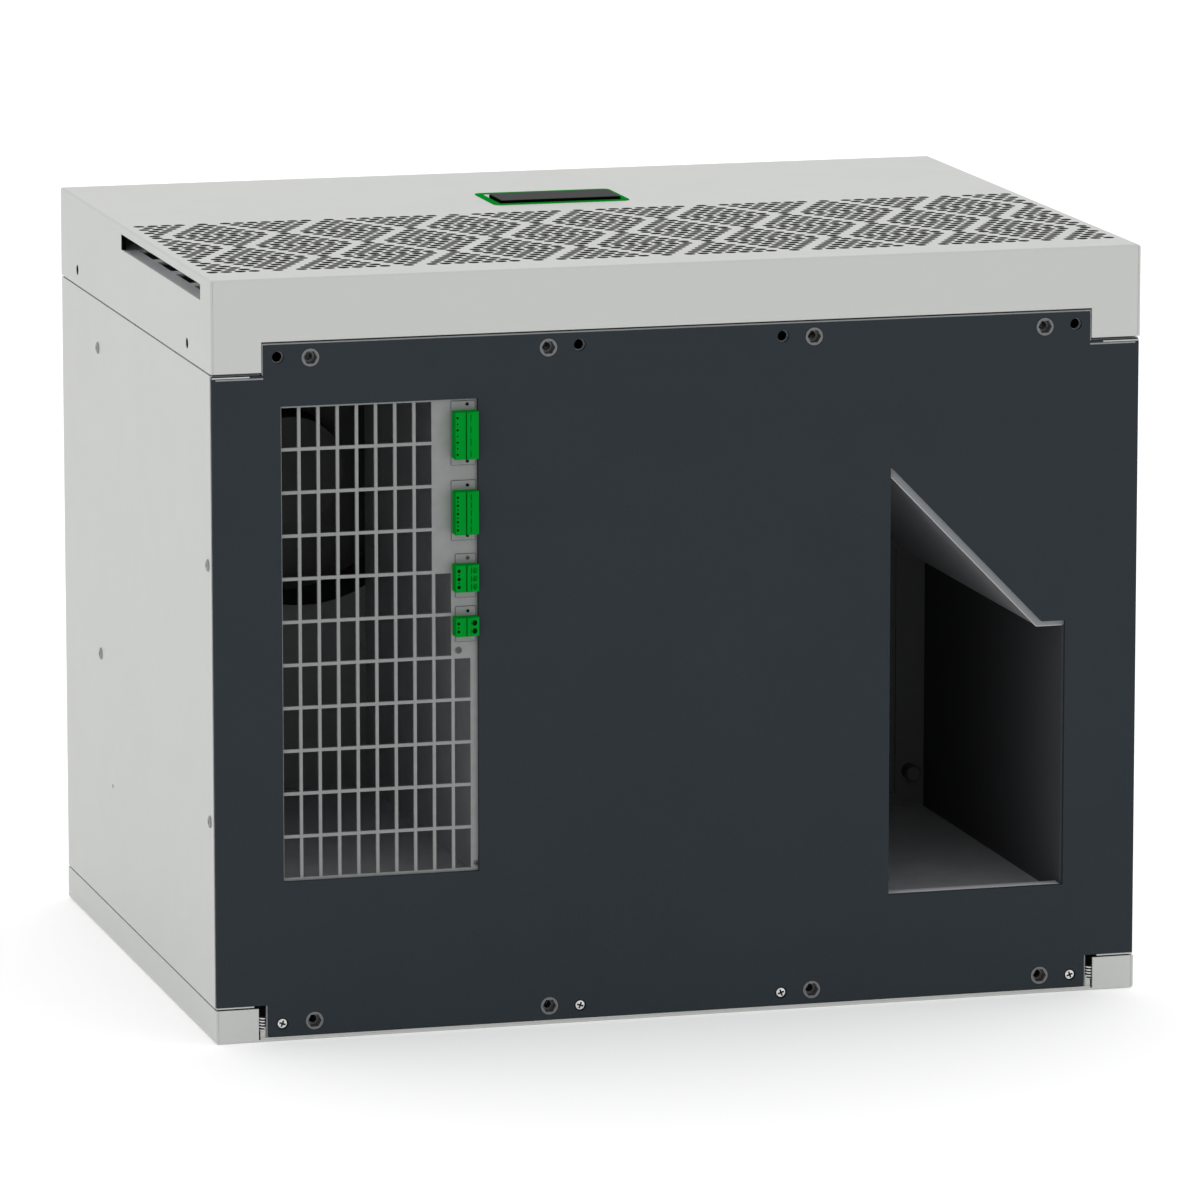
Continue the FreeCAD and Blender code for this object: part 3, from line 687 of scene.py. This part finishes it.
def grille_holes(grille, low, high):
    """Places of the holes: bands of triangles that point to the front and to the back by turns."""
    steps = math.ceil(high.x / grille.group) + 1
    limit = high.x - grille.reach - grille.hole / 2
    for index in range(grille.bands):
        for row in range(grille.rows):
            y = low.y + grille.front + index * grille.band + row * grille.row
            grows = row + 1 if index % 2 else grille.rows - row
            for step in range(-steps, steps + 1):
                count = grows if step % 2 else grille.rows + 1 - grows
                for number in range(count):
                    x = step * grille.group + (number - (count - 1) / 2) * grille.pitch
                    if abs(x) < limit:
                        yield x, y, grille.hole / 2


class UNIT_OT_grille(bpy.types.Operator):
    """Drills the perforated field of the top cover"""
    bl_idname = "cooling_unit.grille"
    bl_label = "Drilled grille"

    def execute(self, context):
        grille = context.scene.cooling_unit.grille
        low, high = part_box("intake_grille")
        bm = bmesh.new()
        sheet = drilled_sheet(low, high, high.z - low.z, grille_holes(grille, low, high), sides=grille.sides)
        add(bm, sheet, Matrix.Translation((0, 0, high.z)))
        # Painted shade: the hole walls take this near-black colour.
        edge = dull_steel("cut_edge_shade", grille.cut, 0.1)
        piece("drilled_grille", bm, [bpy.data.materials["powder_coat"], edge], "grey_paint", "intake_grille")
        return {"FINISHED"}


class UNIT_OT_roof_face(bpy.types.Operator):
    """Finishes the foam gasket and the base plate"""
    bl_idname = "cooling_unit.roof_face"
    bl_label = "Gasket and base plate"

    def execute(self, context):
        casing = context.scene.cooling_unit.casing
        dress(foam("gasket_foam", casing.foam), "roof_gasket")
        dress(powder_coat("plate_coat", casing.plate, casing.peel), "base_plate")
        # Partly painted highlight for the outlet's edges.
        powder_coat("outlet_edge_highlight", casing.outlet_highlight, casing.peel)
        return {"FINISHED"}


class UNIT_OT_intake(bpy.types.Operator):
    """Finishes the punched mesh and the plates behind the terminals"""
    bl_idname = "cooling_unit.intake"
    bl_label = "Intake mesh"

    def execute(self, context):
        dress(dull_steel("mesh_sheet", (0.240, 0.250, 0.247), 0.2), "intake_mesh")
        dress(dull_steel("terminal_plate", (0.225, 0.234, 0.232), 0.2), "terminal_plates")
        return {"FINISHED"}


def small_screws(name, places, material):
    """Pan heads on the terminals' plates."""
    bm = bmesh.new()
    for x, z, radius in places:
        head = cross_head(mm(radius), mm(radius / 3), mm(0.5))
        add(bm, head, facing(mm(x), terminal_plate_y, mm(z), outward))
    # The screws' recesses are painted shade, in black.
    piece(name, bm, [material, bpy.data.materials["shade_black"]], "insert_steel")


class UNIT_OT_intake_screws(bpy.types.Operator):
    """Adds the small screws in and beside the terminals' plates"""
    bl_idname = "cooling_unit.intake_screws"
    bl_label = "Small intake screws"

    def execute(self, context):
        black = moulded("dark_screw", (0.004, 0.004, 0.005), 0.5, shine=0.1)
        grey = dull_steel("grey_screw", (0.10, 0.10, 0.105), 0.6)
        small_screws("plate_screws", black_screws, black)
        small_screws("sheet_screws", grey_screws, grey)
        return {"FINISHED"}


def terminal_front(bm, low, high, depth, angle, circles, slots, terminals):
    """One pierced strip of a terminal's front. Its corners are (x, z), and it turns about its left side."""
    size = (high[0] - low[0], high[1] - low[1])
    circles = [(x - low[0], z - low[1], radius) for x, z, radius in circles]
    slots = [[(x - low[0], z - low[1]) for x, z in outline] for outline in slots]
    sheet = drilled_sheet((0, 0), size, terminals.skin, circles, slots)
    rims = [edge for edge in sheet.edges if along_side(edge, (0, 0), size)]
    bmesh.ops.bevel(sheet, geom=rims, offset=terminals.chamfer, segments=2, profile=0.5, affect="EDGES",
                    material=-1)
    across = Vector((math.cos(angle), math.sin(angle), 0))
    ahead = Vector((math.sin(angle), -math.cos(angle), 0))
    turn = Matrix((across, (0, 0, 1), ahead)).transposed().to_4x4()
    add(bm, sheet, Matrix.Translation((low[0], depth, low[1])) @ turn)


def terminal_body(bm, low, high, face, bend, terminals):
    """The solid part behind the pierced front; its own front is painted shade, nearly black, and shows through
    the openings.
    """
    skin = terminals.skin
    far = face + terminals.slope + skin
    corners = [(low.x, face + skin, low.z), (bend, face + skin, low.z), (high.x, far, low.z),
               (high.x, high.y, low.z), (low.x, high.y, low.z)]
    body = prism(corners, (0, 0, high.z - low.z))
    for side in body.faces:
        side.material_index = int(side.normal.y < -0.5)
    add(bm, body, Matrix())


def terminal_block(terminals, number, kind):
    poles, pitch, entry, entry_inset, dash, well, well_inset, screw = kind
    node = f"terminal_block_{number}"
    low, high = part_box(node)
    face = low.y + terminals.rise
    ridge = (low.x + high.x) / 2 + terminals.offset
    ridge_left, ridge_right = ridge - terminals.ridge / 2, ridge + terminals.ridge / 2
    entry_x = low.x + mm(entry_inset)
    well_x = high.x - mm(well_inset)
    middle = (low.z + high.z) / 2
    levels = [middle + (pole - (poles - 1) / 2) * mm(pitch) for pole in range(poles)]
    entries = [(entry_x, z, mm(entry)) for z in levels]
    marks = [(entry_x, (a + b) / 2, terminals.mark) for a, b in zip(levels, levels[1:])]
    wells = [(well_x, z, mm(well)) for z in levels if well]
    dash_left = ridge_right + mm(0.12)
    dash_right, half_dash = dash_left + terminals.groove, mm(dash) / 2
    dashes = [rectangle(dash_left, dash_right, z - half_dash, z + half_dash) for z in levels]
    bm = bmesh.new()
    terminal_body(bm, low, high, face, ridge_right, terminals)
    terminal_front(bm, (low.x, low.z), (ridge_left - terminals.groove, high.z), face, 0, entries + marks, (),
                   terminals)
    block(bm, (ridge_left, low.y, low.z), (ridge_right, face + terminals.skin, high.z), terminals.chamfer)
    run = high.x - ridge_right
    angle = math.atan2(terminals.slope, run)
    slant = ridge_right + math.hypot(run, terminals.slope)
    terminal_front(bm, (ridge_right, low.z), (slant, high.z), face, angle, wells, dashes, terminals)
    if screw:
        for x, z, _ in wells:
            head = cross_head(mm(screw), mm(0.25), mm(0.7))
            sunk = face + terminals.slope * (x - ridge_right) / run + terminals.skin / 2
            add(bm, head, facing(x, sunk, z, outward))
    materials = [bpy.data.materials["terminal_plastic"], bpy.data.materials["terminal_opening_shade"]]
    piece(f"plug_{number}", bm, materials, "terminal_green", node)


class UNIT_OT_terminals(bpy.types.Operator):
    """Models the plug-in terminal blocks"""
    bl_idname = "cooling_unit.terminals"
    bl_label = "Terminal blocks"

    def execute(self, context):
        terminals = context.scene.cooling_unit.terminals
        moulded("terminal_plastic", terminals.plastic, 0.45, shine=0.0)
        # Painted shade: near-black for the openings, their walls and the screw recesses.
        moulded("terminal_opening_shade", terminals.dark, 0.6, shine=0.1)
        for number, kind in enumerate(terminal_kinds, 1):
            terminal_block(terminals, number, kind)
        return {"FINISHED"}


def plate_outline(bm, number):
    """A thin dark frame round the plate behind one terminal block: painted shade of the gap round the plate.
    """
    low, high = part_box(f"terminal_block_{number}")
    left, right = plate_sides[number - 1]
    bottom, top = low.z - plate_overhang + plate_lift, high.z + plate_overhang + plate_lift
    front = terminal_plate_y - mm(0.02)
    back = front + mm(0.3)
    for x0, x1, z0, z1 in ((left, right, top, top + plate_line), (left, right, bottom - plate_line, bottom),
                           (left - plate_line, left, bottom, top), (right, right + plate_line, bottom, top)):
        block(bm, (x0, front, z0), (x1, back, z1), mm(0.05))


class UNIT_OT_plate_outlines(bpy.types.Operator):
    """Adds painted shade for the gaps that show round the terminals' plates"""
    bl_idname = "cooling_unit.plate_outlines"
    bl_label = "Terminal plate outlines"

    def execute(self, context):
        bm = bmesh.new()
        for number, _ in enumerate(terminal_kinds, 1):
            plate_outline(bm, number)
        gap = moulded("plate_gap_shade", (0.070, 0.073, 0.072), 0.6, shine=0.1)
        piece("plate_outlines", bm, [gap], "insert_steel")
        return {"FINISHED"}


class UNIT_OT_inserts(bpy.types.Operator):
    """Finishes the threaded inserts"""
    bl_idname = "cooling_unit.inserts"
    bl_label = "Threaded inserts"

    def execute(self, context):
        steel = dull_steel("insert_steel", context.scene.cooling_unit.fixings.insert)
        dress(steel, *[f"fixing_insert_{number}" for number in range(1, 9)])
        return {"FINISHED"}


class UNIT_OT_airways(bpy.types.Operator):
    """Finishes the plenum, the fan, the duct and the sheets inside"""
    bl_idname = "cooling_unit.airways"
    bl_label = "Airways and inner sheets"

    def execute(self, context):
        casing = context.scene.cooling_unit.casing
        dress(zinc_sheet("zinc_sheet_coat", casing.zinc), "air_deck", "upper_rails", "lower_rails",
              "duct_floor", "plenum_floor", "plenum_outer_wall", "plenum_inner_wall")
        dress(zinc_sheet("duct_roof_sheet", casing.roof), "duct_roof")
        # The duct's side walls and far end take darker colours.
        dress(foam("duct_wall_dark", casing.duct_wall_tone), "duct_outer_wall", "duct_inner_wall")
        dress(foam("duct_end_dark", casing.end), "duct_back_wall", "duct_back_panel")
        dress(moulded("plug_plastic", casing.plug, 0.55), "drain_plug")
        dress(zinc_sheet("dark_sheet", casing.fan, 0.2), "plenum_roof", "fan_plate")
        dress(fan_housing("fan_housing", casing), "evaporator_fan")
        return {"FINISHED"}


class UNIT_OT_hole_shade_cups(bpy.types.Operator):
    """Adds black cups behind the upper clearance holes, as painted shade inside them"""
    bl_idname = "cooling_unit.hole_sleeves"
    bl_label = "Clearance hole sleeves"

    def execute(self, context):
        back = plate_y + mm(2)
        bm = bmesh.new()
        for width in tab_screw_widths:
            for side in (-1, 1):
                shade_cup = lathe([(0, mm(-3.9)), (mm(3.6), mm(-3.9)), (mm(3.6), mm(-0.02)),
                                (mm(3.3), mm(-0.02)), (mm(3.3), mm(-3.6)), (0, mm(-3.6))])
                add(bm, shade_cup, facing(side * width, back, clearance_hole_height, outward))
        piece("hole_sleeves", bm, [bpy.data.materials["shade_black"]], "black_plastic")
        return {"FINISHED"}


class UNIT_OT_vent_end_shade(bpy.types.Operator):
    """Adds black blocks at the back ends of the side vents, as painted shade there"""
    bl_idname = "cooling_unit.vent_pads"
    bl_label = "Vent end pads"

    def execute(self, context):
        bm = bmesh.new()
        back = face_y + vent_back
        mirrored_block(bm, half_width - mm(0.1), half_width - mm(3), back - mm(2.4), back, *vent_heights,
                       mm(0.2))
        piece("vent_end_shades", bm, [bpy.data.materials["shade_black"]], "black_plastic")
        return {"FINISHED"}


class UNIT_OT_rivets(bpy.types.Operator):
    """Adds the rivets of the side panels"""
    bl_idname = "cooling_unit.rivets"
    bl_label = "Rivets"

    def execute(self, context):
        unit = context.scene.cooling_unit
        r, h = unit.fixings.rivet_radius, unit.fixings.rivet_height
        bm = bmesh.new()
        for side in (-1, 1):
            for depth, height in rivet_places:
                head = lathe([(0, h * 0.35), (r * 0.28, h * 0.35), (r * 0.34, h * 0.97), (r * 0.55, h),
                              (r * 0.80, h * 0.78), (r * 0.95, h * 0.40), (r, 0)])
                add(bm, head, facing(side * half_width, face_y + depth, height, (side, 0, 0)))
        coat = powder_coat("rivet_coat", unit.fixings.rivet, unit.casing.peel)
        piece("panel_rivets", bm, [coat], "grey_paint")
        return {"FINISHED"}


class UNIT_OT_tab_screws(bpy.types.Operator):
    """Adds the screws in the lower tab's clearance holes"""
    bl_idname = "cooling_unit.tab_screws"
    bl_label = "Tab screws"

    def execute(self, context):
        fixings = context.scene.cooling_unit.fixings
        plated = bright_steel("plated_steel", fixings.steel)
        dark = dull_steel("screw_shadow", (0.020, 0.020, 0.021), 0.3)
        bm = bmesh.new()
        for width in tab_screw_widths:
            for side in (-1, 1):
                head = cross_head(fixings.screw_radius, fixings.screw_height, fixings.screw_height, 0.60,
                                  0.16)
                turn = Matrix.Rotation(math.radians(20 * side), 4, "Z")
                add(bm, head, facing(side * width, plate_y, tab_screw_height, outward) @ turn)
        piece("tab_screws", bm, [plated, dark], "insert_steel")
        return {"FINISHED"}


class UNIT_OT_corner_screws(bpy.types.Operator):
    """Adds the upright screws beside the lower tab"""
    bl_idname = "cooling_unit.corner_screws"
    bl_label = "Corner screws"

    def execute(self, context):
        fixings = context.scene.cooling_unit.fixings
        bm = bmesh.new()
        for side in (-1, 1):
            rod = threaded_rod(fixings.rod_radius, fixings.thread, fixings.turns)
            add(bm, rod, Matrix.Translation((side * corner_screw_width, face_y + corner_screw_depth,
                                             corner_screw_top)))
        crest = dull_steel("thread_crest", fixings.steel, 0.2)
        piece("corner_screws", bm, [crest, bpy.data.materials["screw_shadow"]], "insert_steel")
        return {"FINISHED"}


class UNIT_OT_corner_nuts(bpy.types.Operator):
    """Adds the black blocks that the corner screws go into. Their black is partly painted shade, for the shade
    above the screws.
    """
    bl_idname = "cooling_unit.corner_nuts"
    bl_label = "Corner nuts"

    def execute(self, context):
        bm = bmesh.new()
        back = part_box("base_plate")[1].y
        mirrored_block(bm, *corner_nut_widths, face_y + mm(1.7), back, corner_screw_top, corner_nut_top,
                       mm(0.3))
        piece("corner_nuts", bm, [bpy.data.materials["shade_black"]], "black_plastic")
        return {"FINISHED"}


class UNIT_OT_cover_screws(bpy.types.Operator):
    """Adds black cups in the top cover's screw holes, as painted shade inside them"""
    bl_idname = "cooling_unit.cover_screws"
    bl_label = "Cover screw sockets"

    def execute(self, context):
        bm = bmesh.new()
        for side in (-1, 1):
            for depth, height in cover_screw_places:
                cup = lathe([(0, mm(-1.45)), (mm(3.1), mm(-1.45)), (mm(3.1), mm(-0.35)),
                             (mm(3.35), mm(-0.35)), (mm(3.35), mm(-1.49)), (0, mm(-1.49))])
                add(bm, cup, facing(side * half_width, face_y + depth, height, (side, 0, 0)))
        piece("cover_screw_hole_shade", bm, [bpy.data.materials["shade_black"]], "black_plastic")
        return {"FINISHED"}


def painted_lips(bm):
    """Painted edges: under and beside the lower tab, and above and below the gasket's ends."""
    low_edge, high_edge = mm(0.6), mm(2.7)
    block(bm, (-lower_tab_side, face_y + mm(0.4), low_edge), (lower_tab_side, plate_y, high_edge), mm(0.15))
    mirrored_block(bm, mm(266.9), lower_tab_side, face_y + mm(1.2), plate_y, low_edge, mm(9.5), mm(0.1))
    mirrored_block(bm, *gasket_end_widths, face_y + mm(0.2), plate_y, mm(22.2), mm(23.1), mm(0.1))
    mirrored_block(bm, *gasket_end_widths, face_y - mm(0.12), plate_y, mm(416.3), mm(417.1), mm(0.1))


def plate_lips(bm):
    """Edges of the base plate: round the upper tab, beside the lower one and along the gasket's top."""
    block(bm, (-mm(265.9), face_y + mm(0.3), mm(436.05)), (mm(265.9), plate_y, tab_top), mm(0.1))
    mirrored_block(bm, tab_side, mm(266.4), face_y + mm(0.3), plate_y, mm(417.3), tab_top, mm(0.1))
    mirrored_block(bm, tab_side, mm(266.6), face_y + mm(0.5), plate_y, mm(3.0), mm(22.9), mm(0.1))
    mirrored_block(bm, mm(265.7), mm(295.6), face_y - mm(0.15), plate_y, mm(414.9), mm(415.9), mm(0.1))


class UNIT_OT_lips(bpy.types.Operator):
    """Adds the thin painted lips that show round the gasket"""
    bl_idname = "cooling_unit.lips"
    bl_label = "Panel lips"

    def execute(self, context):
        bm = bmesh.new()
        painted_lips(bm)
        piece("painted_lips", bm, [bpy.data.materials["powder_coat"]], "grey_paint")
        bm = bmesh.new()
        plate_lips(bm)
        piece("plate_lips", bm, [bpy.data.materials["plate_coat"]], "grey_paint")
        return {"FINISHED"}


def edge_strip(bm, start, end, width):
    """A thin bright strip inside the outlet, along one side of its slanted top: a bare edge, lightened as
    painted highlight.
    """
    run = Vector((end[0] - start[0], 0, end[1] - start[1]))
    inward = Vector((0, 1, 0)).cross(run).normalized()
    if inward.z > 0:
        inward.negate()
    corners = [Vector((x, plate_y + mm(0.1), z)) for x, z in (start, end)]
    corners += [corner + inward * width for corner in reversed(corners)]
    add(bm, prism(corners, (0, mm(2.0), 0)), Matrix())


class UNIT_OT_corner_seams(bpy.types.Operator):
    """Closes the covers' open front corners to fine seams"""
    bl_idname = "cooling_unit.corner_seams"
    bl_label = "Corner seams"

    def execute(self, context):
        bm = bmesh.new()
        for low, high in seam_heights:
            mirrored_block(bm, *seam_widths, face_y + mm(0.2), face_y + mm(1.5), low, high, mm(0.05))
        piece("corner_seams", bm, [bpy.data.materials["powder_coat"]], "grey_paint")
        return {"FINISHED"}


class UNIT_OT_outlet_edges(bpy.types.Operator):
    """Adds the bright cut edges round the outlet opening; their lighter colour is partly painted highlight"""
    bl_idname = "cooling_unit.outlet_edges"
    bl_label = "Outlet edges"

    def execute(self, context):
        bm = bmesh.new()
        for start, end in zip(outlet_corners, outlet_corners[1:]):
            edge_strip(bm, start, end, mm(0.5))
        left, right = outlet_corners[0][0] + mm(0.4), outlet_corners[-1][0] - mm(0.4)
        block(bm, (left, plate_y, outlet_bottom),
              (right, face_y + outlet_lip_back, outlet_bottom + mm(0.3)), mm(0.1))
        piece("outlet_edges", bm, [bpy.data.materials["outlet_edge_highlight"]], "zinc_sheet")
        return {"FINISHED"}


class UNIT_OT_display(bpy.types.Operator):
    """Finishes the display in the top cover"""
    bl_idname = "cooling_unit.display"
    bl_label = "Display"

    def execute(self, context):
        display = context.scene.cooling_unit.display
        dress(moulded("display_ring", display.ring, 0.5, shine=0.0), "display_frame")
        dress(moulded("display_recess", display.recess, 0.5), "display_tub")
        dress(controller_plastic("display_plastic", display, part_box("display_unit")[1].z), "display_unit")
        return {"FINISHED"}


class UNIT_PT_panel(bpy.types.Panel):
    """Lists the unit's sizes, colours and pieces"""
    bl_idname = "UNIT_PT_panel"
    bl_label = "Cooling Unit"
    bl_space_type = "VIEW_3D"
    bl_region_type = "UI"
    bl_category = "Cooling Unit"

    def draw(self, context):
        unit = context.scene.cooling_unit
        for group in ("casing", "grille", "terminals", "fixings", "display", "studio"):
            box = self.layout.box()
            box.label(text=group.capitalize())
            values = getattr(unit, group)
            for name in values.__annotations__:
                box.prop(values, name)
        for operator in operators:
            self.layout.operator(operator.bl_idname)


operators = (UNIT_OT_studio, UNIT_OT_casing, UNIT_OT_grille, UNIT_OT_roof_face, UNIT_OT_intake,
             UNIT_OT_intake_screws, UNIT_OT_terminals, UNIT_OT_plate_outlines, UNIT_OT_inserts,
             UNIT_OT_airways, UNIT_OT_hole_shade_cups, UNIT_OT_vent_end_shade, UNIT_OT_rivets, UNIT_OT_tab_screws,
             UNIT_OT_corner_screws, UNIT_OT_corner_nuts, UNIT_OT_cover_screws, UNIT_OT_lips,
             UNIT_OT_corner_seams, UNIT_OT_outlet_edges, UNIT_OT_display)
classes = (CasingSettings, GrilleSettings, TerminalSettings, FixingSettings, DisplaySettings, StudioSettings,
           UnitSettings, *operators, UNIT_PT_panel)


def register():
    for item in classes:
        bpy.utils.register_class(item)
    bpy.types.Scene.cooling_unit = PointerProperty(type=UnitSettings)


def unregister():
    del bpy.types.Scene.cooling_unit
    for item in reversed(classes):
        bpy.utils.unregister_class(item)


def main():
    register()
    bpy.ops.cooling_unit.studio()
    bpy.ops.cooling_unit.casing()
    bpy.ops.cooling_unit.grille()
    bpy.ops.cooling_unit.roof_face()
    bpy.ops.cooling_unit.intake()
    bpy.ops.cooling_unit.intake_screws()
    bpy.ops.cooling_unit.terminals()
    bpy.ops.cooling_unit.plate_outlines()
    bpy.ops.cooling_unit.inserts()
    bpy.ops.cooling_unit.airways()
    bpy.ops.cooling_unit.hole_sleeves()
    bpy.ops.cooling_unit.vent_pads()
    bpy.ops.cooling_unit.rivets()
    bpy.ops.cooling_unit.tab_screws()
    bpy.ops.cooling_unit.corner_screws()
    bpy.ops.cooling_unit.corner_nuts()
    bpy.ops.cooling_unit.cover_screws()
    bpy.ops.cooling_unit.lips()
    bpy.ops.cooling_unit.corner_seams()
    bpy.ops.cooling_unit.outlet_edges()
    bpy.ops.cooling_unit.display()


if __name__ == "__main__":
    main()
